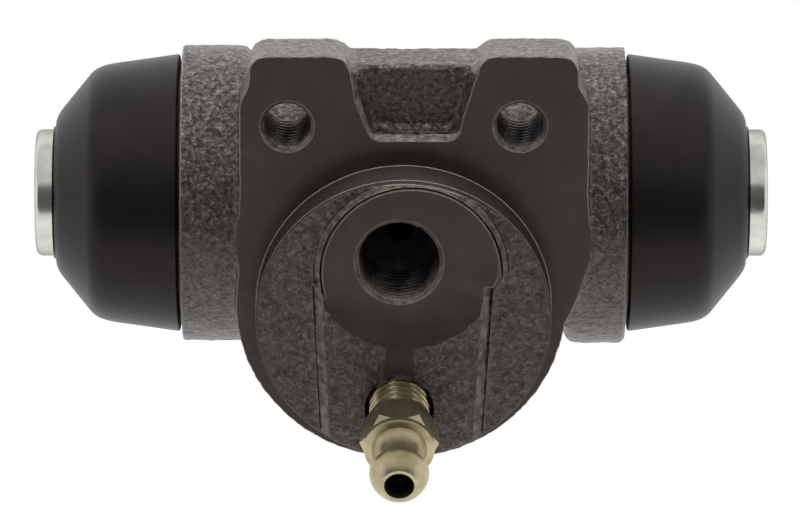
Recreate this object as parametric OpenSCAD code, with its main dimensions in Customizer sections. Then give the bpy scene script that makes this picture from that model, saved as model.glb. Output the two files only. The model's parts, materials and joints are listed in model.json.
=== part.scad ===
// Wheel cylinder of a drum brake: a cast iron body with two opposed pistons, each with
// a rubber cup and a dust boot, a return spring between them, and a bleed screw.
// The origin is the centre of the round spigot, on the plane of the mounting face.
// +X runs along the bore, -Y points out of the mounting face, +Z points to the ears.

/* [Bore and barrel] */
// Diameter of the bore
bore_d = 20.64; // [19:0.01:22]
// Distance of the bore axis behind the mounting face
axis_back = 17.6; // [17.6:0.1:18.6]
// Height of the bore axis above the centre of the spigot
axis_up = 7.5; // [6.8:0.1:8]
// Wall of the barrel between the collars
barrel_wall = 2.9; // [2.4:0.1:3.4]
// Length over the outer faces of the two collars
collar_span = 52.2; // [50:0.1:56]
// Distance between the inner faces of the two collars
collar_inside = 36.6; // [35.6:0.1:38.6]
// Sideways offset of the collars' inner faces from the middle of the bore
collar_shift = 0.6; // [0:0.1:1]
// Diameter of the collars
collar_d = 35; // [33:0.1:35]
// Rounding of the collars' inner edges
collar_round = 1.5; // [0.5:0.1:2]
// Wall of the necks that carry the dust boots
neck_wall = 3.7; // [3:0.1:4.2]
// Length of each neck
neck_l = 5; // [4.6:0.1:6]
// Distance from a collar's outer face to the groove in its neck
neck_groove_in = 1.2; // [1:0.1:1.4]
// Width of the groove in each neck
neck_groove_w = 2.2; // [1.6:0.1:2.6]
// Depth of the groove in each neck
neck_groove_depth = 1; // [0.6:0.1:1.4]
// Chamfer at each mouth of the bore
mouth_chamfer = 0.8; // [0.4:0.1:1.2]

/* [Mounting flange] */
// Thickness of the flange behind the mounting face
flange_t = 10; // [9:0.1:10.4]
// Radius of the round lower edge of the flange
flange_r = 19.3; // [18.5:0.05:21]
// Sideways offset of the cast round foot from the centre of the spigot
foot_shift = 0.3; // [0:0.1:0.8]
// Width of the pad across the bore
pad_w = 40.5; // [40:0.1:44]
// Sideways offset of the cast pad and ears from the machined bore
cast_shift = 1.2; // [0:0.1:1.6]
// Height at which the pad starts to narrow to the ears
pad_shoulder_up = 24.7; // [22:0.1:26]
// Height over which the pad narrows to the ears
pad_shoulder_h = 2.3; // [1:0.1:3]
// Height of the ears' front edges above the centre of the spigot
ear_top = 30.6; // [30:0.1:33]
// Width of each ear
ear_w = 11.6; // [11:0.1:12.5]
// Distance between the ears at their tops
ear_gap = 14.9; // [14:0.1:15.5]
// Rounding of the ears' corners
ear_round = 2; // [1:0.1:2.4]
// Fall of the ears' tops towards the back, in degrees
ear_slope = 6; // [0:1:14]
// Depth of the pocket between the ears
pocket_depth = 3; // [2:0.1:4]
// Width of the pocket at its foot
pocket_w = 10; // [9:0.1:11]
// Height of the pocket's foot above the centre of the spigot
pocket_up = 20.2; // [19:0.1:21.5]
// Height of the web behind the pocket
web_top = 28.4; // [27:0.1:29]
// Fall of the web's top towards the back, in degrees
web_slope = 1; // [0:1:10]
// Width of the saddle that joins the flange to the barrel below the bore
saddle_w = 24; // [20:0.5:30]
// Distance that the saddle reaches back past the bore axis
saddle_reach = 2; // [1:0.1:4]
// Distance of the saddle's foot below the centre of the spigot
saddle_down = 13; // [12:0.1:15]

/* [Fixing holes] */
// Major diameter of the thread in the fixing holes
fix_d = 6; // [5:0.1:6.4]
// Distance between the two fixing holes
fix_spacing = 27; // [26.4:0.1:27.8]
// Height of the fixing holes above the centre of the spigot
fix_up = 22; // [21.5:0.1:23]
// Distance that the fixing holes run out behind the flange
fix_run_out = 0.5; // [0.3:0.1:1]
// Diameter of the countersinks
fix_sink_d = 6.7; // [6.5:0.1:7.4]

/* [Spigot and boss] */
// Diameter of the spigot that locates the cylinder in its plate
spigot_d = 34.4; // [34:0.1:36]
// Height of the spigot above the mounting face
spigot_h = 5.1; // [4:0.1:6]
// Height of the port boss above the spigot
boss_h = 1.2; // [0.8:0.1:1.8]
// Diameter of the boss round the inlet
boss_d = 20.7; // [19:0.1:22]
// Height of the top of the boss above the centre of the spigot
boss_top = 16.4; // [15:0.1:16.6]
// Sideways offset of the boss from the inlet
boss_shift = 0.9; // [0:0.1:1.2]
// Width of the boss below its round top
boss_waist = 20.2; // [19:0.1:21]
// Height of that width above the centre of the spigot
boss_waist_up = 3.9; // [3:0.1:5]
// Width of the boss at the foot of the spigot
boss_foot_w = 18; // [16:0.1:20]
// Distance that the foot of the boss stays inside the edge of the spigot
boss_set_in = 0.4; // [0.2:0.1:1]
// Diameter of the spot face round the inlet
spot_d = 22; // [21:0.1:24]
// Depth of the spot face below the top of the boss
spot_depth = 0.2; // [0.1:0.05:0.6]

/* [Inlet port] */
// Sideways offset of the inlet and the bleed screw from the spigot
port_shift = 0.5; // [0:0.1:0.8]
// Major diameter of the inlet thread
inlet_d = 10; // [9:0.1:10.5]
// Depth of the inlet thread below the spot face
inlet_depth = 9.8; // [8:0.1:10.2]
// Width of the chamfer round the inlet
inlet_chamfer = 0.3; // [0.2:0.05:0.5]
// Included angle of the cone at the foot of the inlet
drill_angle = 118; // [110:1:130]
// Diameter of the feed hole from the inlet to the bore
feed_d = 3.3; // [2.5:0.1:4]

/* [Bleed screw] */
// Distance of the screw below the centre of the spigot, at the spigot's end
bleed_down = 10.5; // [10:0.1:10.8]
// Tilt of the screw down from square to the mounting face, in degrees
bleed_tilt = 13; // [10:0.5:14]
// Major diameter of the screw's thread
bleed_d = 7; // [6.5:0.1:7.2]
// Gap between the screw and its hole
bleed_clear = 0.05; // [0.02:0.01:0.1]
// Depth of the threaded hole, to the start of the conical seat
bleed_depth = 8; // [7:0.1:8.5]
// Diameter of the mouth of the hole
bleed_mouth_d = 8.1; // [7.8:0.1:8.6]
// Depth of the mouth of the hole
bleed_mouth_depth = 2.5; // [1.5:0.1:3]
// Diameter of the passage from the seat to the bore
passage_d = 2.5; // [2:0.1:3]
// Length of the plain point in front of the seat
point_l = 2; // [1.5:0.1:2.4]
// Diameter of the plain point
point_d = 5; // [4.6:0.1:5.4]
// Diameter of the flat end of the point
point_end_d = 1.8; // [1.4:0.1:2.2]
// Distance of the hexagon out from the end of the spigot
hex_out = 4.7; // [4.3:0.1:5.4]
// Size across the flats of the hexagon
hex_af = 8; // [7.6:0.1:8.4]
// Length of the hexagon
hex_l = 4.7; // [4:0.1:6]
// Length of the hose nipple in front of the hexagon
nipple_l = 7.2; // [6.8:0.1:8]
// Length of the nipple's neck
nipple_neck_l = 3.7; // [3:0.1:4]
// Diameter of the nipple at the foot of its neck
nipple_root_d = 6.4; // [6:0.1:6.8]
// Diameter of the nipple's neck at its narrow end
nipple_neck_d = 5.2; // [4.8:0.1:5.6]
// Diameter of the nipple over its bulge
nipple_d = 6.95; // [6.5:0.05:7.1]
// Diameter of the nipple's end
nipple_end_d = 4.2; // [4:0.1:4.6]
// Diameter of the drilling down the screw
screw_bore_d = 2; // [1.6:0.1:2.4]
// Diameter of the mouth of that drilling
screw_mouth_d = 3.35; // [2.6:0.05:3.6]
// Diameter of the cross hole in the point
cross_d = 1.4; // [1:0.1:1.6]

/* [Pistons] */
// Distance that the pistons and spring stand to the left of the middle
stack_shift = 0.3; // [0:0.1:0.6]
// Distance of each piston's inner face from the middle of the bore
piston_in = 13; // [12:0.1:14]
// Length of each piston
piston_l = 30.2; // [29.5:0.1:32]
// Length of each piston's skirt
skirt_l = 16.5; // [14:0.1:18]
// Gap between a piston and the bore
piston_clear = 0.05; // [0.02:0.01:0.1]
// Diameter of each piston's nose
nose_d = 15; // [14:0.1:16]
// Chamfer at the edges of each piston
piston_chamfer = 0.75; // [0.3:0.05:1]
// Distance from a nose's end to the groove for its boot
nose_groove_in = 2.4; // [2.2:0.1:2.8]
// Width of the groove for the boot
nose_groove_w = 2.2; // [1.6:0.1:2.6]
// Depth of the groove for the boot
nose_groove_depth = 0.9; // [0.5:0.1:1.2]

/* [Cups and spring] */
// Length of each rubber cup
cup_l = 6.5; // [6:0.1:7]
// Thickness of each cup's heel
cup_heel = 3; // [2.5:0.1:3.4]
// Thickness of each cup's lip at its root
cup_lip = 2.3; // [1.9:0.1:2.6]
// Gap between a cup and the bore
cup_clear = 0.06; // [0.02:0.01:0.1]
// Gap between an expander's rim and its cup
expander_clear = 0.1; // [0.05:0.01:0.2]
// Thickness of the expanders' sheet
expander_t = 0.8; // [0.6:0.1:1]
// Height of each expander's rim
expander_h = 2.6; // [2:0.1:3]
// Height of the stud that centres the spring
stud_h = 1.6; // [1:0.1:2]
// Wire diameter of the spring
wire_d = 1; // [0.8:0.1:1.2]
// Outer diameter of the spring
spring_d = 11; // [10:0.1:11.6]
// Turns of the spring
spring_turns = 5; // [3:1:7]
// Gap between the spring and what it touches
spring_clear = 0.1; // [0.05:0.01:0.2]

/* [Dust boots] */
// Gap between a boot's lip and the collar
boot_gap = 0.35; // [0.2:0.05:0.5]
// Gap between a boot and the metal that it grips
boot_clear = 0.05; // [0.02:0.01:0.1]
// Wall of each boot
boot_wall = 1.6; // [1.2:0.1:2]
// Extra thickness of each boot's lip
boot_lip = 0.75; // [0.4:0.05:1]
// Length of each boot's straight skirt from its lip
boot_skirt_l = 5.6; // [5.2:0.1:6.5]
// Distance that each boot's end laps the nose past its groove
boot_lap = 0.3; // [0.1:0.05:0.6]
// Distance of the dome's shoulder from the boot's end
dome_shoulder = 3.6; // [3:0.1:4.2]
// Distance of the dome's steep part from the boot's end
dome_steep = 1.6; // [1.2:0.1:2]

/* [Hidden] */
$fn = 96;

// How far a cut runs past the face that it goes through
past = 1;

// Radii and places along the bore, from its middle
bore_r = bore_d / 2;
barrel_r = bore_r + barrel_wall;
neck_r = bore_r + neck_wall;
collar_r = collar_d / 2;
collar_face = collar_span / 2;
neck_end = collar_face + neck_l;
neck_groove_x = collar_face + neck_groove_in;
skirt_r = bore_r - piston_clear;
nose_r = nose_d / 2;
nose_end = piston_in + piston_l;
nose_groove_x = nose_end - nose_groove_in - nose_groove_w;

// Outline of the flange
pad_r = pad_w / 2;
ear_in = ear_gap / 2;
ear_out = ear_in + ear_w;
ear_corner_up = ear_top - ear_round;
fix_depth = flange_t + fix_run_out;
saddle_back = axis_back + saddle_reach;

// Planes in front of the mounting face
boss_front = spigot_h + boss_h;
spot_front = boss_front - spot_depth;
spigot_r = spigot_d / 2;
boss_r = boss_d / 2;
inlet_r = inlet_d / 2;
inlet_cone_h = (inlet_d - feed_d) / 2 / tan(drill_angle / 2);

// Bleed hole, seat and the passage that breaks into the lowest line of the bore
bleed_hole_r = bleed_d / 2 + bleed_clear;
passage_r = passage_d / 2;
seat_h = bleed_hole_r - passage_r;
seat_foot = bleed_depth + seat_h;
seat_y = -spigot_h + seat_foot * cos(bleed_tilt);
seat_z = -bleed_down + seat_foot * sin(bleed_tilt);
seat_to_axis = [axis_back - seat_y, axis_up - seat_z];
passage_turn = asin((bore_r - passage_r) / norm(seat_to_axis));
passage_angle = atan2(seat_to_axis[1], seat_to_axis[0]) - passage_turn;
passage_l = norm(seat_to_axis) * cos(passage_turn);
passage_start = 1.2 * passage_r;

// Bleed screw, in distances out from the end of the spigot
point_r = point_d / 2;
point_gap = bleed_clear * sqrt(2);
cone_start = -(bleed_depth + bleed_hole_r - point_gap - point_r);
cone_end = cone_start - (point_d - point_end_d) / 2;
thread_end = cone_start + point_l;
hex_end = hex_out + hex_l;
nipple_end = hex_end + nipple_l;
hex_corner_r = hex_af / 2 / cos(30);
hex_bevel = hex_corner_r - hex_af / 2;

// Cups, expanders and spring
cup_r = bore_r - cup_clear;
cup_in = piston_in - cup_l;
cup_seat = piston_in - cup_heel;
cup_hollow_r = cup_r - cup_lip;
expander_r = cup_hollow_r - expander_clear;
spring_seat = cup_seat - expander_t;
wire_r = wire_d / 2;
coil_r = spring_d / 2 - wire_r;
stud_r = coil_r - wire_r - spring_clear;

// Boots: the skirt over the neck, then a dome down to the nose
boot_x = collar_face + boot_gap;
boot_r = neck_r + boot_clear + boot_wall;
dome_drop = boot_r - nose_r;

// Points along a cubic curve through its four control points
function curve_point(p, t) =
    pow(1 - t, 3) * p[0] + 3 * t * pow(1 - t, 2) * p[1]
    + 3 * t * t * (1 - t) * p[2] + pow(t, 3) * p[3];
function curve(p, steps = 14) = [for (i = [0 : steps]) curve_point(p, i / steps)];

// Puts +Z along the bore, pointing to the right
module along_bore() {
    translate([0, axis_back, axis_up]) rotate([0, 90, 0]) children();
}

// Puts +Z along the bore, pointing out of the left or the right end
module at_end(side) {
    translate([0, axis_back, axis_up]) rotate([0, side * 90, 0]) children();
}

// Moves what floats in the bore to where it stands
module floating() {
    translate([-stack_shift, 0, 0]) children();
}

// Extrudes an outline drawn in X and Z from y = from to y = to
module plate(from, to) {
    translate([0, to, 0]) rotate([90, 0, 0]) linear_extrude(to - from) children();
}

// Puts +Z out of the mounting face at a point of it, y deep
module out_of_face(x, y, z) {
    translate([x, y, z]) rotate([90, 0, 0]) children();
}

// Puts +Z along the bleed screw, outwards from the end of the spigot
module along_bleed() {
    translate([-port_shift, -spigot_h, -bleed_down]) rotate([90 + bleed_tilt, 0, 0]) children();
}

// Half section of a collar with its inner edge rounded, from its inner to its outer face
module collar_section(inner, outer) {
    translate([0, inner + collar_round]) square([collar_r, outer - inner - collar_round]);
    translate([0, inner]) square([collar_r - collar_round, outer - inner]);
    translate([collar_r - collar_round, inner + collar_round]) circle(collar_round);
}

// Barrel, collars and boot necks, all round the bore
module barrel_casting() {
    along_bore() translate([0, 0, -collar_face]) cylinder(r = barrel_r, h = collar_span);
    for (side = [-1, 1]) at_end(side) {
        rotate_extrude() collar_section(collar_inside / 2 + side * collar_shift, collar_face);
        difference() {
            translate([0, 0, collar_face - past]) cylinder(r = neck_r, h = neck_l + past);
            translate([0, 0, neck_groove_x]) rotate_extrude()
                translate([neck_r - neck_groove_depth, 0])
                    square([neck_groove_depth + past, neck_groove_w]);
        }
    }
}

// Outline of the flange: round foot, pad across the bore, and two ears with a gap between
module flange_outline() {
    translate([-foot_shift, 0]) circle(flange_r);
    translate([cast_shift, 0]) {
        intersection() {
            translate([0, axis_up]) circle(pad_r);
            translate([-pad_r, axis_up - pad_r]) square([pad_w, pad_r]);
        }
        half = [
            [pad_r, axis_up],
            [pad_r, pad_shoulder_up],
            [ear_out, pad_shoulder_up + pad_shoulder_h],
            [ear_out, ear_corner_up],
            [ear_out - ear_round, ear_top],
            [ear_in + ear_round, ear_top],
            [ear_in, ear_corner_up],
            [pocket_w / 2, pocket_up]
        ];
        other_half = [for (i = [len(half) - 1 : -1 : 0]) [-half[i][0], half[i][1]]];
        polygon(concat(half, other_half));
        for (side = [-1, 1], x = [ear_in + ear_round, ear_out - ear_round])
            translate([side * x, ear_corner_up]) circle(ear_round);
    }
}

// Everything above a plane that starts at a height and falls towards the back
module above_slope(front, height, slope) {
    translate([-collar_span / 2, front, height]) rotate([-slope, 0, 0])
        translate([0, -flange_t, 0]) cube([collar_span, 3 * flange_t, ear_top]);
}

// Flange with its ears, and the web that closes the back of the pocket
module flange_casting() {
    difference() {
        plate(0, flange_t) flange_outline();
        above_slope(0, ear_top, ear_slope);
    }
    difference() {
        translate([cast_shift - ear_in - ear_round, pocket_depth, axis_up])
            cube([ear_gap + 2 * ear_round, flange_t - pocket_depth, web_top - axis_up]);
        above_slope(pocket_depth, web_top, web_slope);
    }
}

// Saddle below the bore, which holds the bleed passage
module saddle_casting() {
    side_view = [
        [past, -saddle_down],
        [flange_t, -saddle_down],
        [saddle_back, axis_up - barrel_r],
        [axis_back, axis_up],
        [past, axis_up]
    ];
    translate([-saddle_w / 2, 0, 0]) rotate([90, 0, 90])
        linear_extrude(saddle_w) polygon(side_view);
}

// Spigot, and the boss on it that carries the inlet and the bleed screw
module spigot_casting() {
    plate(-spigot_h, past) circle(spigot_r);
    plate(-boss_front, -spigot_h + past) intersection() {
        circle(spigot_r - boss_set_in);
        union() {
            translate([boss_shift, boss_top - boss_r]) circle(boss_r);
            polygon([
                [boss_shift - boss_r, boss_top - boss_r],
                [-boss_waist / 2, boss_waist_up],
                [-boss_foot_w / 2 - foot_shift, -spigot_r],
                [boss_foot_w / 2 - foot_shift, -spigot_r],
                [boss_waist / 2, boss_waist_up],
                [boss_shift + boss_r, boss_top - boss_r]
            ]);
        }
    }
}

// The bore, with a chamfer at each mouth
module bore_cut() {
    along_bore() translate([0, 0, -neck_end - past]) cylinder(r = bore_r, h = 2 * (neck_end + past));
    for (side = [-1, 1]) at_end(side) translate([0, 0, neck_end - mouth_chamfer])
        cylinder(r1 = bore_r, r2 = bore_r + mouth_chamfer + past, h = mouth_chamfer + past);
}

// Fixing holes, countersunk at the mounting face
module fixing_cuts() {
    sink = (fix_sink_d - fix_d) / 2;
    for (side = [-1, 1]) out_of_face(side * fix_spacing / 2, 0, fix_up) {
        translate([0, 0, -fix_depth]) cylinder(d = fix_d, h = fix_depth + past);
        translate([0, 0, -sink]) cylinder(d1 = fix_d, d2 = fix_sink_d + 2 * past, h = sink + past);
    }
}

// Spot face, inlet hole with a conical foot, and the feed hole into the bore
module inlet_cut() {
    out_of_face(-port_shift, -spot_front, axis_up) {
        cylinder(d = spot_d, h = spot_depth + past);
        translate([0, 0, -inlet_depth]) cylinder(r = inlet_r, h = inlet_depth + past);
        translate([0, 0, -inlet_chamfer])
            cylinder(r1 = inlet_r, r2 = inlet_r + inlet_chamfer + past, h = inlet_chamfer + past);
        translate([0, 0, -inlet_depth - inlet_cone_h])
            cylinder(d1 = feed_d, d2 = inlet_d, h = inlet_cone_h);
        translate([0, 0, -spot_front - axis_back])
            cylinder(d = feed_d, h = spot_front + axis_back - inlet_depth);
    }
}

// Bleed hole with its mouth and conical seat, and the passage up to the bore
module bleed_cut() {
    along_bleed() {
        translate([0, 0, -bleed_depth]) cylinder(r = bleed_hole_r, h = bleed_depth + boss_h + 2 * past);
        translate([0, 0, -bleed_mouth_depth])
            cylinder(d = bleed_mouth_d, h = bleed_mouth_depth + boss_h + 2 * past);
        translate([0, 0, -seat_foot]) cylinder(r1 = passage_r, r2 = bleed_hole_r, h = seat_h);
    }
    translate([-port_shift, seat_y, seat_z]) rotate([passage_angle - 90, 0, 0])
        translate([0, 0, -passage_start]) cylinder(r = passage_r, h = passage_l + passage_start);
}

// Cast iron body with all that is machined in it
module cylinder_body() {
    color("#4f4b49") difference() {
        union() {
            barrel_casting();
            flange_casting();
            saddle_casting();
            spigot_casting();
        }
        bore_cut();
        fixing_cuts();
        inlet_cut();
        bleed_cut();
    }
}

// Turned piston: a skirt in the bore and a nose that pushes the brake shoe
module piston(side) {
    skirt_end = piston_in + skirt_l;
    groove_r = nose_r - nose_groove_depth;
    groove_end = nose_groove_x + nose_groove_w;
    color("#c9c9c7") floating() at_end(side) rotate_extrude() polygon([
        [0, piston_in],
        [skirt_r - piston_chamfer, piston_in],
        [skirt_r, piston_in + piston_chamfer],
        [skirt_r, skirt_end - piston_chamfer],
        [skirt_r - piston_chamfer, skirt_end],
        [nose_r, skirt_end],
        [nose_r, nose_groove_x],
        [groove_r, nose_groove_x],
        [groove_r, groove_end],
        [nose_r, groove_end],
        [nose_r, nose_end - piston_chamfer],
        [nose_r - piston_chamfer, nose_end],
        [0, nose_end]
    ]);
}

// Rubber cup: its heel bears on the piston and its lip faces the fluid
module piston_cup(side) {
    heel_relief = cup_lip / 6;
    color("#262424") floating() at_end(side) rotate_extrude() polygon([
        [0, cup_seat],
        [cup_hollow_r, cup_seat],
        [cup_hollow_r + cup_lip / 2, cup_in],
        [cup_r - heel_relief, cup_in],
        [cup_r, cup_in + cup_lip / 2],
        [cup_r, cup_seat],
        [cup_r - heel_relief, piston_in],
        [0, piston_in]
    ]);
}

// Pressed steel expander that holds the cup's lip out and centres the spring
module cup_expander(side) {
    rim_in = cup_seat - expander_h;
    color("#a8a59c") floating() at_end(side) rotate_extrude() polygon([
        [0, cup_seat],
        [expander_r, cup_seat],
        [expander_r, rim_in],
        [expander_r - expander_t, rim_in],
        [expander_r - expander_t, spring_seat],
        [stud_r, spring_seat],
        [stud_r, spring_seat - stud_h],
        [0, spring_seat - stud_h]
    ]);
}

// Coil spring: a round wire swept along a helix
module return_spring() {
    sides = 8;
    steps = spring_turns * 16;
    reach = spring_seat - spring_clear - wire_r;
    pitch_tilt = atan2(2 * reach / spring_turns, 2 * PI * coil_r);
    points = [
        for (i = [0 : steps], k = [0 : sides - 1])
            let (
                a = 360 * spring_turns * i / steps,
                b = 360 * k / sides,
                r = coil_r + wire_r * cos(b),
                swing = wire_r * sin(b)
            )
            [
                r * cos(a) + swing * sin(pitch_tilt) * sin(a),
                r * sin(a) - swing * sin(pitch_tilt) * cos(a),
                -reach + 2 * reach * i / steps + swing * cos(pitch_tilt)
            ]
    ];
    walls = [
        for (i = [0 : steps - 1], k = [0 : sides - 1])
            let (next = (k + 1) % sides)
            each [
                [i * sides + k, i * sides + next, (i + 1) * sides + next],
                [i * sides + k, (i + 1) * sides + next, (i + 1) * sides + k]
            ]
    ];
    first_end = [[for (k = [0 : sides - 1]) sides - 1 - k]];
    last_end = [[for (k = [0 : sides - 1]) steps * sides + k]];
    color("#8d8b86") floating() along_bore() polyhedron(points, concat(walls, first_end, last_end));
}

// Rubber dust boot: a bead in the neck's groove, a domed wall, and a bead in the nose's groove
module dust_boot(side) {
    grip_r = neck_r + boot_clear;
    bead_r = grip_r - neck_groove_depth;
    bead_end = neck_groove_x + neck_groove_w - boot_clear;
    lip_r = boot_r + boot_lip;
    nose_grip_r = nose_r + boot_clear;
    nose_bead_r = nose_grip_r - nose_groove_depth;
    groove_x = nose_groove_x - side * stack_shift;
    nose_bead_in = groove_x + boot_clear;
    nose_bead_end = groove_x + nose_groove_w - boot_clear;
    boot_end = groove_x + nose_groove_w + boot_lap;
    outside = [
        [boot_r, boot_x + boot_skirt_l],
        [boot_r - dome_drop / 10, boot_end - dome_shoulder],
        [nose_r + dome_drop / 2, boot_end - dome_steep],
        [nose_grip_r, boot_end]
    ];
    inside = [
        [nose_grip_r, nose_bead_in],
        [nose_r + dome_drop / 2 - boot_wall * sin(45), boot_end - dome_steep - boot_wall * sin(45)],
        [boot_r - dome_drop / 10 - boot_wall, boot_end - dome_shoulder - boot_wall],
        [grip_r, neck_end]
    ];
    color("#2b2a29") at_end(side) rotate_extrude() polygon(concat(
        [[grip_r, boot_x], [lip_r, boot_x]],
        curve(outside),
        [[nose_grip_r, nose_bead_end], [nose_bead_r, nose_bead_end], [nose_bead_r, nose_bead_in]],
        curve(inside),
        [[grip_r, bead_end], [bead_r, bead_end]],
        [[bead_r, neck_groove_x + boot_clear], [grip_r, neck_groove_x + boot_clear]]
    ));
}

// Bleed screw: point, thread, hexagon and hose nipple, drilled through to a cross hole
module bleed_screw() {
    neck_end_z = hex_end + nipple_neck_l;
    bulge_z = neck_end_z + (nipple_d - nipple_neck_d) / 2;
    dome_turn = acos(nipple_end_d / nipple_d);
    dome_steps = 8;
    dome = [
        for (i = [0 : dome_steps])
            let (a = dome_turn * i / dome_steps)
            [nipple_d / 2 * cos(a), bulge_z + (nipple_end - bulge_z) * sin(a) / sin(dome_turn)]
    ];
    color("#a8935a") along_bleed() difference() {
        union() {
            rotate_extrude() polygon([
                [0, cone_end],
                [point_end_d / 2, cone_end],
                [point_r, cone_start],
                [point_r, thread_end - (bleed_d - point_d) / 2],
                [bleed_d / 2, thread_end],
                [bleed_d / 2, hex_out + past],
                [0, hex_out + past]
            ]);
            intersection() {
                translate([0, 0, hex_out]) cylinder(r = hex_corner_r, h = hex_l, $fn = 6);
                rotate_extrude() polygon([
                    [0, hex_out],
                    [hex_af / 2, hex_out],
                    [hex_corner_r, hex_out + hex_bevel],
                    [hex_corner_r, hex_end - hex_bevel],
                    [hex_af / 2, hex_end],
                    [0, hex_end]
                ]);
            }
            rotate_extrude() polygon(concat(
                [
                    [0, hex_end - past],
                    [nipple_root_d / 2, hex_end - past],
                    [nipple_root_d / 2, hex_end],
                    [nipple_neck_d / 2, neck_end_z]
                ],
                dome,
                [[0, nipple_end]]
            ));
        }
        translate([0, 0, cone_start]) cylinder(d = screw_bore_d, h = nipple_end - cone_start + past);
        translate([0, 0, nipple_end - (screw_mouth_d - screw_bore_d) / 2])
            cylinder(
                d1 = screw_bore_d,
                d2 = screw_mouth_d + 2 * past,
                h = (screw_mouth_d - screw_bore_d) / 2 + past
            );
        translate([0, 0, cone_start + cross_d]) rotate([0, 90, 0])
            cylinder(d = cross_d, h = 2 * bleed_d, center = true);
    }
}

cylinder_body();
piston(-1);  // piston_left
piston(1);  // piston_right
piston_cup(-1);  // piston_cup_left
piston_cup(1);  // piston_cup_right
cup_expander(-1);  // cup_expander_left
cup_expander(1);  // cup_expander_right
return_spring();
dust_boot(-1);  // dust_boot_left
dust_boot(1);  // dust_boot_right
bleed_screw();
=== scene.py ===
# Wheel cylinder of a drum brake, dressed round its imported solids.
# Meshes are drawn in millimetres and brought to metres as each piece is finished.
import json
import math

import bmesh
import bpy
from mathutils import Matrix, Vector


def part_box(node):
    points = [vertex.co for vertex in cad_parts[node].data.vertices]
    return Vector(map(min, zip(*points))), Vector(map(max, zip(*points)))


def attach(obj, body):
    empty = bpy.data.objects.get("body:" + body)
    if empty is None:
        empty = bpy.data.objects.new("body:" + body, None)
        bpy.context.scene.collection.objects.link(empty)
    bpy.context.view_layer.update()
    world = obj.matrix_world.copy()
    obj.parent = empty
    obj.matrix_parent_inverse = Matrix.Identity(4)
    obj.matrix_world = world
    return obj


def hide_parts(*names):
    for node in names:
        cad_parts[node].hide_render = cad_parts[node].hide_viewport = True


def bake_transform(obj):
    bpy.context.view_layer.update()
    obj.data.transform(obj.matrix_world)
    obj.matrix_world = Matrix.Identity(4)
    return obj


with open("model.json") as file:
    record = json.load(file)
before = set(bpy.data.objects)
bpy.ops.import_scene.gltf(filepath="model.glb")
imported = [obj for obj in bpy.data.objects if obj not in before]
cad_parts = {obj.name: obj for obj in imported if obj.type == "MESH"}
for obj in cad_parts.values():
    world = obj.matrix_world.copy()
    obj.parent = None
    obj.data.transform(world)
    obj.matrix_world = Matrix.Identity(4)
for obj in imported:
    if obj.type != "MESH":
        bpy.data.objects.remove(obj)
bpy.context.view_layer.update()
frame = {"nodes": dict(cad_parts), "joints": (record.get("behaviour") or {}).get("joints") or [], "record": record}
mounts = {mount["name"]: mount for mount in frame["record"]["mounts"]}
joints = {joint["name"]: joint for joint in frame["joints"]}


# Cylinder casting
# The body is one piece of grey iron, cast in sand: a barrel, two collars, a flange with ears and a spigot.
# It is roughed out here with stock on it, as the foundry leaves it, and its skin is grainy.
MM = 0.001
bore_y, bore_z = [place / MM for place in mounts["left_piston_face"]["pos_m"][1:]]
spigot_r = mounts["locating_spigot"]["dims"]["r_mm"]
spigot_h = mounts["locating_spigot"]["dims"]["length_mm"]
body_low, body_high = [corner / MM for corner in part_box("cylinder_body")]
neck_end = body_high.x
ear_top = body_high.z
collar_r = body_high.y - bore_y
boss_front = -body_low.y
piston_play = 0.05
piston_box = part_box("piston_left")
bore_r = (piston_box[1].z - piston_box[0].z) / MM / 2 + piston_play
barrel_r = bore_r + 2.9
collar_face = 26.1
collar_round = 1.5
cast_shift = 1.2
foot_shift = 0.3
flange_t = 10
flange_r = -body_low.z
stock = 0.6
pocket_half = 5.5
pocket_top_half = 7.3
pocket_up = 20.2
pocket_top = 28.2
pocket_rim = 0.6
boss_r = 10.35
boss_centre = (0.9, 6.05)


def axis_place(origin, direction):
    """The place of a shape that is drawn along +Z, set on an axis of the part."""
    turn = Vector(direction).to_track_quat("Z", "Y").to_matrix().to_4x4()
    return Matrix.Translation(origin) @ turn


def out_of_face(x, y, z):
    """The place of a shape whose X and Y lie in the mounting face and whose Z comes out of it."""
    return Matrix.Translation((x, y, z)) @ Matrix.Rotation(math.pi / 2, 4, "X")


def arc(centre, radius, start, end, steps=10):
    """Points along a round stretch of an outline, between two angles in degrees."""
    angles = [math.radians(start + (end - start) * i / steps) for i in range(steps + 1)]
    return [(centre[0] + radius * math.cos(a), centre[1] + radius * math.sin(a)) for a in angles]


def turned(outline, place, ring=False, steps=96):
    """A lathe shape: (radius, along) points spun about Z. A ring's outline closes off the axis."""
    bm = bmesh.new()
    points = [bm.verts.new((radius, 0, along)) for radius, along in outline]
    pairs = list(zip(points, points[1:]))
    if ring:
        pairs.append((points[-1], points[0]))
    edges = [bm.edges.new(pair) for pair in pairs]
    bmesh.ops.spin(bm, geom=points + edges, axis=(0, 0, 1), angle=2 * math.pi, steps=steps, use_merge=True)
    bmesh.ops.remove_doubles(bm, verts=bm.verts, dist=0.0005)
    bmesh.ops.recalc_face_normals(bm, faces=bm.faces)
    bmesh.ops.transform(bm, matrix=place, verts=bm.verts)
    return bm


def slab(outline, low, high, place):
    """An outline in X and Y, made solid from one height to another along Z."""
    bm = bmesh.new()
    face = bm.faces.new([bm.verts.new((x, y, low)) for x, y in outline])
    raised = bmesh.ops.extrude_face_region(bm, geom=[face])["geom"]
    top = [item for item in raised if isinstance(item, bmesh.types.BMVert)]
    bmesh.ops.translate(bm, vec=(0, 0, high - low), verts=top)
    bmesh.ops.recalc_face_normals(bm, faces=bm.faces)
    bmesh.ops.transform(bm, matrix=place, verts=bm.verts)
    return bm


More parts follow.
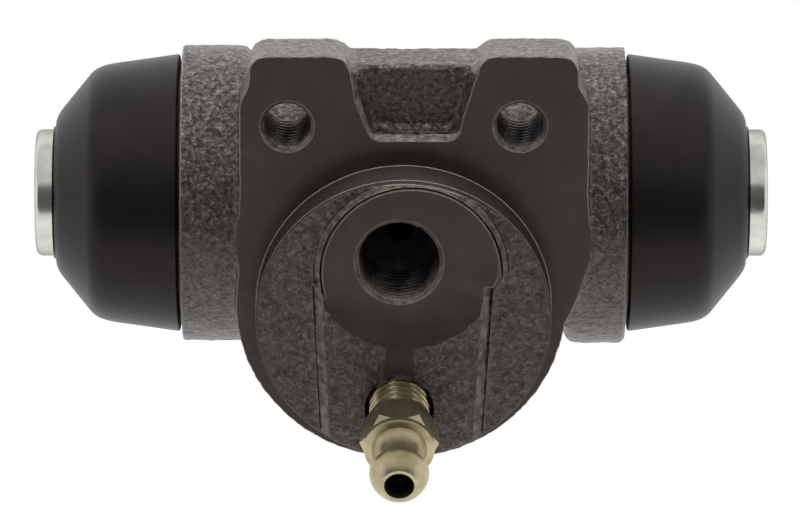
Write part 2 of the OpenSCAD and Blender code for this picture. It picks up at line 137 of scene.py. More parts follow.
def piece(name, shapes, finish_index=0):
    """One object out of one or more drawn shapes, in metres, with its place in its mesh."""
    mesh = bpy.data.meshes.new(name)
    whole = bmesh.new()
    for shape in shapes:
        shape.to_mesh(mesh)
        whole.from_mesh(mesh)
        shape.free()
    bmesh.ops.scale(whole, vec=(MM, MM, MM), verts=whole.verts)
    for face in whole.faces:
        face.material_index = finish_index
    whole.to_mesh(mesh)
    whole.free()
    obj = bpy.data.objects.new(name, mesh)
    bpy.context.scene.collection.objects.link(obj)
    return obj


def settle(obj):
    """Makes an object's modifiers part of its mesh."""
    evaluated = obj.evaluated_get(bpy.context.evaluated_depsgraph_get())
    settled = bpy.data.meshes.new_from_object(evaluated)
    obj.modifiers.clear()
    obj.data = settled


ENDS = {side: axis_place((0, bore_y, bore_z), (side, 0, 0)) for side in (-1, 1)}
ALONG_BORE = ENDS[1]


def collar(side):
    """One end of the barrel: a collar, cast a little low on the right, and stock for the boot's neck."""
    inner_mean = 18.3
    inner_shift = 0.6
    inner = inner_mean + side * inner_shift
    right_sag = 0.32
    sag = right_sag if side > 0 else 0
    neck_stock_r = bore_r + 4.4
    outline = [(0, inner)]
    outline += arc((collar_r - collar_round, inner + collar_round), collar_round, -90, 0)
    outline += [(collar_r, collar_face + stock), (neck_stock_r, collar_face + stock)]
    outline += [(neck_stock_r, neck_end + stock), (0, neck_end + stock)]
    return turned(outline, Matrix.Translation((0, 0, -sag)) @ ENDS[side])


def flange():
    """Flange with a pad across the bore and two ears, whose tops fall to the back."""
    pad_r = 20.25
    pad_shoulder_up = 24.7
    ear_root_up = 27
    ear_in = 7.45
    ear_out = 19.05
    ear_round = 2
    ear_slope = math.radians(6)
    top = ear_top - ear_round
    half = arc((0, bore_z), pad_r, -88, 0, 20)
    half += [(pad_r, pad_shoulder_up), (ear_out, ear_root_up)]
    half += arc((ear_out - ear_round, top), ear_round, 0, 90, 6)
    half += arc((ear_in + ear_round, top), ear_round, 90, 165, 6)
    half += [(pocket_half - pocket_rim, pocket_up + pocket_rim)]
    outline = half + [(-x, z) for x, z in reversed(half)]
    shape = slab(outline, -flange_t, stock, out_of_face(cast_shift, 0, 0))
    for vert in shape.verts:
        if vert.co.z > pad_shoulder_up:
            vert.co.z -= vert.co.y * math.tan(ear_slope)
    return shape


def pocket_web():
    """Web that closes the back of the pocket between the ears."""
    web_half = 9.4
    web_top = 28.4
    pocket_depth = 3
    outline = [(-web_half, bore_z), (web_half, bore_z), (web_half, web_top), (-web_half, web_top)]
    return slab(outline, -flange_t, -pocket_depth, out_of_face(cast_shift, 0, 0))


def pocket_fillet():
    """Sloping border of the pocket, from the front edges of the ears down to the web."""
    slope = 1.1
    back = 3.6
    front = 0.2
    buried = 0.6
    buried_top = 1.7
    top_half = pocket_top_half + buried_top
    foot_half = pocket_half + buried
    foot_up = pocket_up - buried
    outer = [(-top_half, pocket_top), (-foot_half, foot_up), (foot_half, foot_up), (top_half, pocket_top)]
    inner = [(pocket_top_half - slope, pocket_top), (pocket_half - slope, pocket_up + slope)]
    inner += [(slope - pocket_half, pocket_up + slope), (slope - pocket_top_half, pocket_top)]
    shape = slab(outer + inner, -back, -front, out_of_face(cast_shift, 0, 0))
    for vert in shape.verts:
        in_front = vert.co.y < (back + front) / 2
        if in_front and vert.co.z > pocket_up:
            vert.co.x += math.copysign(slope, vert.co.x - cast_shift)
        if in_front and pocket_up < vert.co.z < pocket_top - slope:
            vert.co.z -= slope
    return shape


def saddle():
    """Saddle below the bore, which holds the bleed passage."""
    saddle_half = 12
    saddle_down = 13
    saddle_front = 1
    saddle_back = bore_y + 2
    outline = [(saddle_front, -saddle_down), (flange_t, -saddle_down), (saddle_back, bore_z - barrel_r)]
    outline += [(bore_y, bore_z), (saddle_front, bore_z)]
    side_view = Matrix(((0, 0, 1, 0), (1, 0, 0, 0), (0, 1, 0, 0), (0, 0, 0, 1)))
    return slab(outline, -saddle_half, saddle_half, side_view)


def port_boss():
    """Raised boss on the spigot round the inlet and down to the bleed screw."""
    wall_stock = 0.35
    waist_half = 10.1
    waist_up = 3.9
    foot_half = 9
    draft = 0.5
    sunk = 0.4
    edge_r = spigot_r - sunk
    foot_up = -math.sqrt(edge_r**2 - foot_half**2)
    outline = arc(boss_centre, boss_r + wall_stock, 0, 180, 40)
    outline += [(-waist_half, waist_up), (-foot_half - foot_shift, foot_up)]
    outline += arc((0, 0), edge_r, -121, -59, 16)
    outline += [(foot_half - foot_shift, foot_up), (waist_half, waist_up)]
    shape = slab(outline, spigot_h - sunk, boss_front, out_of_face(0, 0, 0))
    for vert in shape.verts:
        if vert.co.y > -spigot_h:
            vert.co.x *= 1 + draft / boss_r
            vert.co.z += draft * (vert.co.z - waist_up) / boss_r
    return shape


barrel_outline = [(0, -collar_face), (barrel_r, -collar_face), (barrel_r, collar_face), (0, collar_face)]
barrel = turned(barrel_outline, ALONG_BORE)
foot_outline = [(0, -flange_t), (flange_r, -flange_t), (flange_r, stock), (0, stock)]
foot = turned(foot_outline, out_of_face(-foot_shift, 0, 0))
spigot_root = -1
blank_r = spigot_r + stock
spigot_outline = [(0, spigot_root), (blank_r, spigot_root), (blank_r, spigot_h), (0, spigot_h)]
spigot = turned(spigot_outline, out_of_face(0, 0, 0))
rough_shapes = [barrel, collar(-1), collar(1), flange(), pocket_web(), pocket_fillet()]
rough_shapes += [saddle(), foot, spigot, port_boss()]
casting = piece("cast_body", rough_shapes)


def roughen(obj, grain, height):
    """Raises a clouded grain on a skin. Grain and height are in millimetres."""
    clouds = bpy.data.textures.new("cast_grain", "CLOUDS")
    clouds.noise_scale = grain * MM
    clouds.noise_depth = 2
    skin = obj.modifiers.new("grain", "DISPLACE")
    skin.texture = clouds
    skin.texture_coords = "LOCAL"
    skin.mid_level = 0.5
    skin.strength = height * MM


skin = casting.modifiers.new("skin", "REMESH")
skin.mode = "VOXEL"
skin.voxel_size = 0.42 * MM
rounding = casting.modifiers.new("rounding", "SMOOTH")
rounding.factor = 0.5
rounding.iterations = 5
roughen(casting, grain=3.2, height=0.12)
roughen(casting, grain=0.8, height=0.2)
settle(casting)


def linear(hex_colour):
    """An sRGB hex colour as the linear values that a shader takes."""
    channels = [int(hex_colour[i : i + 2], 16) / 255 for i in (1, 3, 5)]
    return [c / 12.92 if c <= 0.04045 else ((c + 0.055) / 1.055) ** 2.4 for c in channels] + [1.0]


def add(tree, kind, sockets=None, **settings):
    """Adds a node with its settings. A socket takes a value, or another node's output to link."""
    node = tree.nodes.new(kind)
    for name, value in settings.items():
        setattr(node, name, value)
    for name, value in (sockets or {}).items():
        if isinstance(value, bpy.types.NodeSocket):
            tree.links.new(value, node.inputs[name])
        else:
            node.inputs[name].default_value = value
    return node


def set_stops(shade, low, dark, high, pale):
    """Gives a ramp its two colours and their places."""
    for stop, position, colour in zip(shade.color_ramp.elements, (low, high), (dark, pale)):
        stop.position = position
        stop.color = linear(colour)


def finish(name, **sockets):
    """A new material, its node tree and its shader, with some of the shader's sockets set."""
    material = bpy.data.materials.new(name)
    material.use_nodes = True
    shader = material.node_tree.nodes["Principled BSDF"]
    for socket, value in sockets.items():
        shader.inputs[socket.replace("_", " ")].default_value = value
    return material, material.node_tree, shader


# Sand-cast iron with a dark oiled skin, grainy and full of small pits. Its short pale ridges between the sand
# grains are a painted highlight on their raised tops, and the near-black pits are painted shade.
def sand_cast_iron():
    material, tree, shader = finish(
        "sand_cast_iron",
        Metallic=0.1,
        Specular_IOR_Level=0.75,
        Specular_Tint=linear("#fff2e6"),
        Coat_Weight=0.5,
        Coat_Roughness=0.35,
    )
    place = add(tree, "ShaderNodeTexCoord").outputs["Object"]
    grain = add(
        tree,
        "ShaderNodeTexNoise",
        {"Vector": place, "Scale": 1 / (0.5 * MM), "Detail": 4, "Roughness": 0.6},
    )
    shade = add(tree, "ShaderNodeValToRGB", {"Fac": grain.outputs["Fac"]})
    set_stops(shade, 0.36, "#191614", 0.6, "#332e2a")
    vein = add(tree, "ShaderNodeTexNoise", {"Vector": place, "Scale": 1 / (0.9 * MM), "Detail": 1})
    offset = add(tree, "ShaderNodeMath", {0: vein.outputs["Fac"], 1: 0.5}, operation="SUBTRACT")
    spread = add(tree, "ShaderNodeMath", {0: offset.outputs["Value"]}, operation="ABSOLUTE")
    line = add(
        tree,
        "ShaderNodeMapRange",
        {"Value": spread.outputs["Value"], "From Max": 0.06, "To Min": 0.34, "To Max": 0.0},
    )
    patch = add(tree, "ShaderNodeTexNoise", {"Vector": place, "Scale": 1 / (0.6 * MM), "Detail": 2})
    broken = add(
        tree,
        "ShaderNodeMapRange",
        {"Value": patch.outputs["Fac"], "From Min": 0.46, "From Max": 0.56},
    )
    ridge = add(
        tree,
        "ShaderNodeMath",
        {0: line.outputs["Result"], 1: broken.outputs["Result"]},
        operation="MULTIPLY",
    )
    pit = add(
        tree,
        "ShaderNodeMapRange",
        {"Value": patch.outputs["Fac"], "From Min": 0.45, "From Max": 0.39},
    )
    # Painted shade: the pits are mixed towards near-black.
    pit_painted_shade = add(
        tree,
        "ShaderNodeMix",
        {"Factor": pit.outputs["Result"], 6: shade.outputs["Color"], 7: linear("#060505")},
        data_type="RGBA",
    )
    # Painted highlight: the short ridges are mixed towards pale grey, as if lit on their raised tops.
    tone_with_painted_light = add(
        tree,
        "ShaderNodeMix",
        {"Factor": ridge.outputs["Value"], 6: pit_painted_shade.outputs[2], 7: linear("#857d75")},
        data_type="RGBA",
    )
    tree.links.new(tone_with_painted_light.outputs[2], shader.inputs["Base Color"])
    dull = add(tree, "ShaderNodeMapRange", {"Value": grain.outputs["Fac"], "To Min": 0.46, "To Max": 0.32})
    tree.links.new(dull.outputs["Result"], shader.inputs["Roughness"])
    height = add(
        tree,
        "ShaderNodeMath",
        {0: ridge.outputs["Value"], 1: 0.5, 2: grain.outputs["Fac"]},
        operation="MULTIPLY_ADD",
    )
    sunk = add(
        tree,
        "ShaderNodeMath",
        {0: pit.outputs["Result"], 1: -0.6, 2: height.outputs["Value"]},
        operation="MULTIPLY_ADD",
    )
    bump = add(
        tree,
        "ShaderNodeBump",
        {"Height": sunk.outputs["Value"], "Strength": 1.0, "Distance": 0.2 * MM},
    )
    tree.links.new(bump.outputs["Normal"], shader.inputs["Normal"])
    return material


# Iron faced on a lathe and darkened with the rest: smooth, with faint rings,
# and a thin bright line at its edges, partly wear and partly a painted highlight where the edges catch the light.
def faced_iron(name, ring_x, ring_z, dark, pale, edge_wear_and_highlight, mirror):
    material, tree, shader = finish(
        name, Metallic=0.1, Specular_IOR_Level=mirror, Specular_Tint=linear("#fff0e2")
    )
    place = add(tree, "ShaderNodeTexCoord").outputs["Object"]
    centred = add(tree, "ShaderNodeMapping", {"Vector": place, "Location": (-ring_x * MM, 0, -ring_z * MM)})
    rings = add(
        tree,
        "ShaderNodeTexWave",
        {"Vector": centred.outputs["Vector"], "Scale": 1 / (3.2 * MM), "Distortion": 0.4, "Detail": 2},
        wave_type="RINGS",
        rings_direction="Y",
    )
    stain = add(
        tree,
        "ShaderNodeTexNoise",
        {"Vector": place, "Scale": 1 / (4 * MM), "Detail": 6, "Roughness": 0.6},
    )
    shade = add(tree, "ShaderNodeValToRGB", {"Fac": stain.outputs["Fac"]})
    set_stops(shade, 0.3, dark, 0.75, pale)
    rounded = add(tree, "ShaderNodeBevel", {"Radius": 0.25 * MM}, samples=6)
    flat = add(tree, "ShaderNodeNewGeometry").outputs["Normal"]
    bent = add(
        tree, "ShaderNodeVectorMath", {0: rounded.outputs["Normal"], 1: flat}, operation="DOT_PRODUCT"
    )
    # Painted highlight, partly wear: a pale line along every bent edge, inner corners included.
    edge = add(
        tree,
        "ShaderNodeMapRange",
        {"Value": bent.outputs["Value"], "From Min": 0.99, "From Max": 0.9},
    )
    tone_with_painted_light = add(
        tree,
        "ShaderNodeMix",
        {"Factor": edge.outputs["Result"], 6: shade.outputs["Color"], 7: linear(edge_wear_and_highlight)},
        data_type="RGBA",
    )
    tree.links.new(tone_with_painted_light.outputs[2], shader.inputs["Base Color"])
    dull = add(tree, "ShaderNodeMapRange", {"Value": stain.outputs["Fac"], "To Min": 0.26, "To Max": 0.38})
    tree.links.new(dull.outputs["Result"], shader.inputs["Roughness"])
    bump = add(
        tree,
        "ShaderNodeBump",
        {
            "Height": rings.outputs["Fac"],
            "Strength": 0.12,
            "Distance": 0.02 * MM,
            "Normal": rounded.outputs["Normal"],
        },
    )
    tree.links.new(bump.outputs["Normal"], shader.inputs["Normal"])
    return material


# Iron rubbed by taps and countersinks: uneven and paler than the faces. Round the boss and along the pocket's rim
# the same pale colour is a painted highlight where those slopes catch the light.
def rubbed_iron_and_highlight():
    material, tree, shader = finish("rubbed_iron_and_highlight", Metallic=0.4)
    place = add(tree, "ShaderNodeTexCoord").outputs["Object"]
    rub = add(
        tree,
        "ShaderNodeTexNoise",
        {"Vector": place, "Scale": 1 / (0.9 * MM), "Detail": 4, "Roughness": 0.7},
    )
    shade = add(tree, "ShaderNodeValToRGB", {"Fac": rub.outputs["Fac"]})
    set_stops(shade, 0.35, "#332f2b", 0.7, "#746d66")
    tree.links.new(shade.outputs["Color"], shader.inputs["Base Color"])
    dull = add(tree, "ShaderNodeMapRange", {"Value": rub.outputs["Fac"], "To Min": 0.5, "To Max": 0.3})
    tree.links.new(dull.outputs["Result"], shader.inputs["Roughness"])
    bump = add(
        tree,
        "ShaderNodeBump",
        {"Height": rub.outputs["Fac"], "Strength": 0.6, "Distance": 0.2 * MM},
    )
    tree.links.new(bump.outputs["Normal"], shader.inputs["Normal"])
    return material


# Iron inside the drilled holes and up the wall of the boss: dull, with the same dark skin.
def drilled_iron():
    material, tree, shader = finish("drilled_iron", Metallic=0.4, Roughness=0.6)
    place = add(tree, "ShaderNodeTexCoord").outputs["Object"]
    soot = add(tree, "ShaderNodeTexNoise", {"Vector": place, "Scale": 1 / (1.2 * MM), "Detail": 4})
    shade = add(tree, "ShaderNodeValToRGB", {"Fac": soot.outputs["Fac"]})
    set_stops(shade, 0.3, "#3a3531", 0.7, "#6a625b")
    tree.links.new(shade.outputs["Color"], shader.inputs["Base Color"])
    return material


inlet_x, inlet_z = [mounts["inlet_port"]["pos_m"][axis] / MM for axis in (0, 2)]
iron_finishes = [
    sand_cast_iron(),
    faced_iron("faced_iron", 0, 0, "#2e2926", "#3d3733", "#a29b94", mirror=0.5),
    faced_iron("turned_iron", 0, 0, "#211e1c", "#2c2825", "#8a837c", mirror=0.1),
    faced_iron("spot_faced_iron", inlet_x, inlet_z, "#2e2926", "#3d3733", "#958e87", mirror=0.5),
    drilled_iron(),
    rubbed_iron_and_highlight(),
]
for iron in iron_finishes:
    casting.data.materials.append(iron)


# Machining of the casting
# The mounting face and spigot are turned, the inlet is spot faced, and the inlet and the ears are tapped.
# Then the bore is honed through, and the necks at its ends are turned with a groove for each boot.
FACED, TURNED, SPOT_FACED, DRILLED, RUBBED_AND_HIGHLIT = range(1, 6)


def machine(obj, shapes, finish_index, operation="DIFFERENCE"):
    """Cuts shapes out of an object, or joins them to it. What is new takes the shapes' finish."""
    for shape in shapes:
        tool = piece("tool", [shape], finish_index)
        for material in obj.data.materials:
            tool.data.materials.append(material)
        cut = obj.modifiers.new("cut", "BOOLEAN")
        cut.operation = operation
        cut.solver = "MANIFOLD"
        cut.object = tool
        settle(obj)
        bpy.data.objects.remove(tool)


def tap(radius, pitch, low, high, place, depth=0.3, segments=72, rows_per_turn=8):
    """A rod with a screw thread, drawn along Z: its crests are at the radius and its roots lie inside."""
    bm = bmesh.new()
    bmesh.ops.create_cone(
        bm, cap_ends=True, segments=segments, radius1=radius, radius2=radius, depth=high - low
    )
    bmesh.ops.translate(bm, vec=(0, 0, (low + high) / 2), verts=bm.verts)
    upright = [e for e in bm.edges if abs(e.verts[0].co.z - e.verts[1].co.z) > depth]
    rows = round((high - low) / pitch * rows_per_turn)
    flank = 2.2
    root = 0.6
    bmesh.ops.subdivide_edges(bm, edges=upright, cuts=rows, use_grid_fill=False)
    for vert in bm.verts:
        turn = math.atan2(vert.co.y, vert.co.x) / (2 * math.pi)
        phase = (vert.co.z / pitch - turn) % 1
        height = min(max(flank * abs(2 * phase - 1) - root, 0), 1)
        scale = 1 - depth * (1 - height) / radius
        vert.co.x *= scale
        vert.co.y *= scale
    bmesh.ops.recalc_face_normals(bm, faces=bm.faces)
    bmesh.ops.transform(bm, matrix=place, verts=bm.verts)
    return bm


def face_cut():
    """Takes the stock off the mounting face and turns the spigot."""
    reach = 60
    chamfer = 0.25
    chamfer_in = 0.4
    inner_r = spigot_r - chamfer_in
    outline = [(reach, 0), (spigot_r, 0), (spigot_r, spigot_h - chamfer)]
    outline += [(inner_r, spigot_h - chamfer + chamfer_in), (inner_r, reach), (reach, reach)]
    return turned(outline, out_of_face(0, 0, 0), ring=True, steps=160)


def pocket_rim_cut():
    """Chamfers the front edge of the pocket along its foot and, narrowing upwards, along its sides."""
    depth = 0.8
    over = 1
    corner_r = 1.2
    corner_x = pocket_half - pocket_rim - corner_r
    corner_up = pocket_up + pocket_rim + corner_r
    widening = 1 + pocket_rim * (depth + over) / depth / corner_r
    outline = arc((corner_x, corner_up), corner_r, 270, 341, 8)
    outline += [(pocket_top_half, pocket_top), (-pocket_top_half, pocket_top)]
    outline += arc((-corner_x, corner_up), corner_r, 199, 270, 8)
    shape = slab(outline, -depth, over, out_of_face(cast_shift, 0, 0))
    for vert in shape.verts:
        if vert.co.y < 0 and vert.co.z < pocket_top - corner_r:
            middle = cast_shift + math.copysign(corner_x, vert.co.x - cast_shift)
            vert.co.x = middle + (vert.co.x - middle) * widening
            vert.co.z = corner_up + (vert.co.z - corner_up) * widening
    return shape


def boss_ring(outline):
    """A ring round the top of the boss, ended by a slanted plane at the boss's waist."""
    wall_end = 4.5
    end_slant = (0, 1.5, -1)
    ring = turned(outline, out_of_face(boss_centre[0], 0, boss_centre[1]), ring=True, steps=128)
    parts = list(ring.verts) + list(ring.edges) + list(ring.faces)
    bmesh.ops.bisect_plane(
        ring, geom=parts, plane_co=(0, -spigot_h, wall_end), plane_no=end_slant, clear_outer=True
    )
    bmesh.ops.holes_fill(ring, edges=[edge for edge in ring.edges if edge.is_boundary])
    bmesh.ops.recalc_face_normals(ring, faces=ring.faces)
    return ring


def boss_side_cut(side):
    """Bevels one straight side of the boss, from its waist down over its foot."""
    top_up = 4.4
    foot_up = -15
    top_lean = 0.1
    foot_lean = 0.27
    top_half = 9.75 - side * top_lean
    foot_half = 8.7 - side * foot_lean
    bevel_in = 0.4
    bevel_out = 0.75
    bevel_h = 1.15
    over = 1
    land = 0.05
    outer = [(side * (half + bevel_out), up) for half, up in ((top_half, top_up), (foot_half, foot_up))]
    inner = [(side * (half - bevel_in), up) for half, up in ((foot_half, foot_up), (top_half, top_up))]
    bm = slab(outer + inner, boss_front - bevel_h, boss_front + over, out_of_face(0, 0, 0))
    for vert in bm.verts:
        middle = foot_half + (top_half - foot_half) * (vert.co.z - foot_up) / (top_up - foot_up)
        if side * vert.co.x < middle and vert.co.y > -boss_front:
            vert.co.y -= bevel_h - land
    return bm


def countersink(radius, place):
    """A cone of 45 degrees that opens the mouth of a hole."""
    over = 1
    return turned([(0, -radius), (radius + over, over), (0, over)], place)


rim_r = boss_r + 0.3
rim_out = boss_r + 1
rim_foot = spigot_h + 0.04
rim_top = spigot_h + 0.45
wall_top = boss_front + 0.6
wall_in = boss_r - 0.35
wall_out = rim_r + 0.1
wall_lap = 0.05
rim_outline = [(rim_r, wall_top), (rim_r, rim_top), (rim_out, rim_foot), (rim_out, wall_top)]
wall_outline = [(wall_in, wall_top), (rim_r - wall_lap, rim_top - wall_lap), (wall_out, wall_top)]

spot_depth = 0.2
spot_r = 10.8
spot_shift = (0.6, 0.4)
spot_place = out_of_face(inlet_x, -(boss_front - spot_depth), inlet_z)
inlet_r = mounts["inlet_port"]["dims"]["r_mm"]
inlet_depth = 9.8
thread_depth = 0.3
thread_pitch = 1.0
thread_out = 0.5
drill_out = 1
feed_r = 1.65
inlet_chamfer_r = inlet_r + 0.2
inlet_minor_r = inlet_r - thread_depth
drill_point = (inlet_minor_r - feed_r) / math.tan(math.radians(59))
feed_end = -(boss_front - spot_depth) - bore_y
inlet_foot = [(0, feed_end), (feed_r, feed_end), (feed_r, -inlet_depth - drill_point)]
inlet_outline = inlet_foot + [(inlet_minor_r, -inlet_depth), (inlet_minor_r, drill_out), (0, drill_out)]
spot_centre = spot_place @ Matrix.Translation((*spot_shift, 0))
spot_floor_r = spot_r - 0.3
spot_wall_r = spot_r + 0.6
spot_rise = 0.3
spot_clear = 4
spot_outline = [(0, 0), (spot_floor_r, 0), (spot_wall_r, spot_rise)]
spot_outline += [(spot_wall_r, spot_clear), (0, spot_clear)]
spot_cut = turned(spot_outline, spot_centre, steps=128)

relief_r = 9
relief_depth = 0.17
relief_low = -7.6
relief_high = -2.6
relief_place = Matrix.Translation((inlet_x, -(boss_front + relief_r - relief_depth), 0))
relief_outline = [(0, relief_low), (relief_r, relief_low), (relief_r, relief_high), (0, relief_high)]
relief = turned(relief_outline, relief_place, steps=160)

machine(casting, [face_cut()], FACED)
proud = 0.05
for face in casting.data.polygons:
    if face.material_index == FACED and face.center.y < -proud * MM:
        face.material_index = TURNED
# The pocket's rim and the rim round the boss take the pale rubbed colour, here as a painted highlight.
machine(casting, [pocket_rim_cut(), boss_ring(rim_outline)], RUBBED_AND_HIGHLIT)
machine(casting, [boss_ring(wall_outline)], DRILLED)
# The bevelled sides of the boss take the same pale colour, as a painted highlight.
machine(casting, [boss_side_cut(-1), boss_side_cut(1)], RUBBED_AND_HIGHLIT)
machine(casting, [relief, spot_cut], SPOT_FACED)
machine(casting, [turned(inlet_outline, spot_place)], DRILLED)
machine(casting, [countersink(inlet_chamfer_r, spot_place)], RUBBED_AND_HIGHLIT)
machine(casting, [tap(inlet_r, thread_pitch, -inlet_depth, thread_out, spot_place)], RUBBED_AND_HIGHLIT)

hole_up = mounts["mounting_holes"]["pos_m"][2] / MM
hole_spacing = mounts["mounting_holes"]["dims"]["spacing_x_mm"]
hole_r = mounts["mounting_holes"]["dims"]["hole_r_mm"]
hole_depth = flange_t + 0.5
hole_chamfer_r = 3.15
minor_r = hole_r - thread_depth
hole_outline = [(0, -hole_depth), (minor_r, -hole_depth), (minor_r, drill_out), (0, drill_out)]
for side in (-1, 1):
    hole_place = out_of_face(side * hole_spacing / 2, 0, hole_up)
    ear_tap = tap(hole_r, thread_pitch, -hole_depth, thread_out, hole_place, segments=60)
    machine(casting, [turned(hole_outline, hole_place, steps=72)], DRILLED)
    machine(casting, [countersink(hole_chamfer_r, hole_place), ear_tap], RUBBED_AND_HIGHLIT)

mouth_chamfer = 0.8
mouth_r = bore_r + mouth_chamfer + drill_out
mouth = neck_end + drill_out
bore_outline = [(0, -mouth), (mouth_r, -mouth), (bore_r, -neck_end + mouth_chamfer)]
bore_outline += [(bore_r, neck_end - mouth_chamfer), (mouth_r, mouth), (0, mouth)]
machine(casting, [turned(bore_outline, ALONG_BORE, steps=128)], FACED)


def neck_cut(side):
    """Faces a collar, turns the neck with its boot groove, and cuts the neck to length."""
    neck_r = bore_r + 3.7
    groove_r = neck_r - 1
    groove_in = collar_face + 1.2
    groove_out = groove_in + 2.2
    chamfer = 0.18
    over = 1
    past = neck_end + 4
    reach = 24
    chamfer_in = collar_face - chamfer - over
    start = (reach, chamfer_in)
    outline = [start, (collar_r + over, chamfer_in), (collar_r - chamfer, collar_face)]
    outline += [(neck_r, collar_face), (neck_r, groove_in), (groove_r, groove_in)]
    outline += [(groove_r, groove_out), (neck_r, groove_out), (neck_r, neck_end), (0, neck_end)]
    outline += [(0, past), (reach, past), start]
    return turned(outline, ENDS[side], steps=128)


for side in (-1, 1):
    machine(casting, [neck_cut(side)], FACED)


# Bleed hole
# It is drilled at a slant below the inlet, with a conical seat at its foot.
# The screw fills it and hides its thread, so its wall is left plain here.
# A thin passage runs on from the seat and breaks into the lowest line of the bore.
bleed_hinge = joints["bleed_screw_turn"]
bleed_origin = Vector(bleed_hinge["pos_m"]) / MM
bleed_axis = Vector(bleed_hinge["axis"]).normalized()
BLEED = axis_place(bleed_origin, bleed_axis)
bleed_r = 3.5
bleed_hole_r = bleed_r + 0.05
bleed_depth = 8
bleed_mouth_r = 4.05
bleed_mouth_depth = 2.5
bleed_clear = 5
passage_r = 1.25
seat_foot = bleed_depth + bleed_hole_r - passage_r
bleed_outline = [(0, -seat_foot), (passage_r, -seat_foot), (bleed_hole_r, -bleed_depth)]
bleed_outline += [(bleed_hole_r, -bleed_mouth_depth), (bleed_mouth_r, -bleed_mouth_depth)]
bleed_outline += [(bleed_mouth_r, bleed_clear), (0, bleed_clear)]
machine(casting, [turned(bleed_outline, BLEED)], DRILLED)

seat = bleed_origin - bleed_axis * seat_foot
to_bore = Vector((0, bore_y - seat.y, bore_z - seat.z))
passage_dip = math.asin((bore_r - passage_r) / to_bore.length)
passage_axis = Matrix.Rotation(-passage_dip, 3, "X") @ to_bore.normalized()
passage_l = to_bore.length * math.cos(passage_dip)
passage_back = -1.5
passage_outline = [(0, passage_back), (passage_r, passage_back), (passage_r, passage_l), (0, passage_l)]
passage = turned(passage_outline, axis_place(seat, passage_axis), steps=48)
machine(casting, [passage], DRILLED)


def smooth(obj, angle=38):
    """Shades a piece smooth, with its real edges and the limits of its finishes kept sharp."""
    obj.data.shade_smooth()
    obj.data.set_sharp_from_angle(angle=math.radians(angle))
    bm = bmesh.new()
    bm.from_mesh(obj.data)
    for edge in bm.edges:
        if len({face.material_index for face in edge.link_faces}) > 1:
            edge.smooth = False
    bm.to_mesh(obj.data)
    bm.free()


smooth(casting)
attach(casting, "cylinder")
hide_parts("cylinder_body")


# Return spring
# A coil of drawn steel wire between the two cup expanders pushes the cups apart.
# Its two halves meet at its middle, one on the side of each piston.
def drawn_wire():
    # Drawn steel: grey, half bright and a little cloudy.
    material, tree, shader = finish("drawn_spring_wire", Metallic=1.0)
    place = add(tree, "ShaderNodeTexCoord").outputs["Object"]
    scale = add(tree, "ShaderNodeTexNoise", {"Vector": place, "Scale": 1 / (1.5 * MM), "Detail": 4})
    shade = add(tree, "ShaderNodeValToRGB", {"Fac": scale.outputs["Fac"]})
    set_stops(shade, 0.0, "#6f6c67", 1.0, "#a3a09a")
    tree.links.new(shade.outputs["Color"], shader.inputs["Base Color"])
    dull = add(tree, "ShaderNodeMapRange", {"Value": scale.outputs["Fac"], "To Min": 0.3, "To Max": 0.5})
    tree.links.new(dull.outputs["Result"], shader.inputs["Roughness"])
    return material


spring_low, spring_high = [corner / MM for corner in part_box("return_spring")]
wire_r = 0.5
coil_r = (spring_high.z - spring_low.z) / 2 - wire_r
spring_middle = (spring_low.x + spring_high.x) / 2
spring_half = (spring_high.x - spring_low.x) / 2 - wire_r
half_turns = 2.5
wire_steps = 90
spring_wire = drawn_wire()
for side, name, body in ((-1, "left", "left_piston"), (1, "right", "right_piston")):
    bm = bmesh.new()
    start = Vector((spring_middle, bore_y, bore_z + coil_r))
    round_wire = Matrix.Translation(start) @ Matrix.Rotation(math.pi / 2, 4, "X")
    circle = bmesh.ops.create_circle(bm, cap_ends=False, segments=12, radius=wire_r, matrix=round_wire)
    bmesh.ops.spin(
        bm,
        geom=circle["verts"] + list(bm.edges),
        cent=(0, bore_y, bore_z),
        axis=(1, 0, 0),
        angle=side * 2 * math.pi * half_turns,
        steps=wire_steps,
        dvec=(side * spring_half / wire_steps, 0, 0),
    )
    bmesh.ops.holes_fill(bm, edges=[e for e in bm.edges if e.is_boundary])
    bmesh.ops.recalc_face_normals(bm, faces=bm.faces)
    coil = piece(f"return_spring_{name}", [bm])
    coil.data.materials.append(spring_wire)
    smooth(coil, 60)
    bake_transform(coil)
    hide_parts("return_spring")


# Piston cups and expanders
# Each rubber cup seals the bore behind its piston, with its lip to the fluid.
# A pressed steel expander holds the lip out and centres the spring.
def moulded_rubber(name, dark, pale, roughness):
    # Moulded rubber: black and half matt, with a faint bloom and a fine skin.
    material, tree, shader = finish(
        name, Roughness=roughness, Specular_IOR_Level=0.25, Specular_Tint=linear("#ffefec")
    )
    place = add(tree, "ShaderNodeTexCoord").outputs["Object"]
    bloom = add(
        tree,
        "ShaderNodeTexNoise",
        {"Vector": place, "Scale": 1 / (5 * MM), "Detail": 6, "Roughness": 0.6},
    )
    shade = add(tree, "ShaderNodeValToRGB", {"Fac": bloom.outputs["Fac"]})
    set_stops(shade, 0.3, dark, 0.8, pale)
    tree.links.new(shade.outputs["Color"], shader.inputs["Base Color"])
    skin_grain = add(tree, "ShaderNodeTexNoise", {"Vector": place, "Scale": 1 / (0.3 * MM), "Detail": 3})
    bump = add(
        tree,
        "ShaderNodeBump",
        {"Height": skin_grain.outputs["Fac"], "Strength": 0.2, "Distance": 0.03 * MM},
    )
    tree.links.new(bump.outputs["Normal"], shader.inputs["Normal"])
    return material


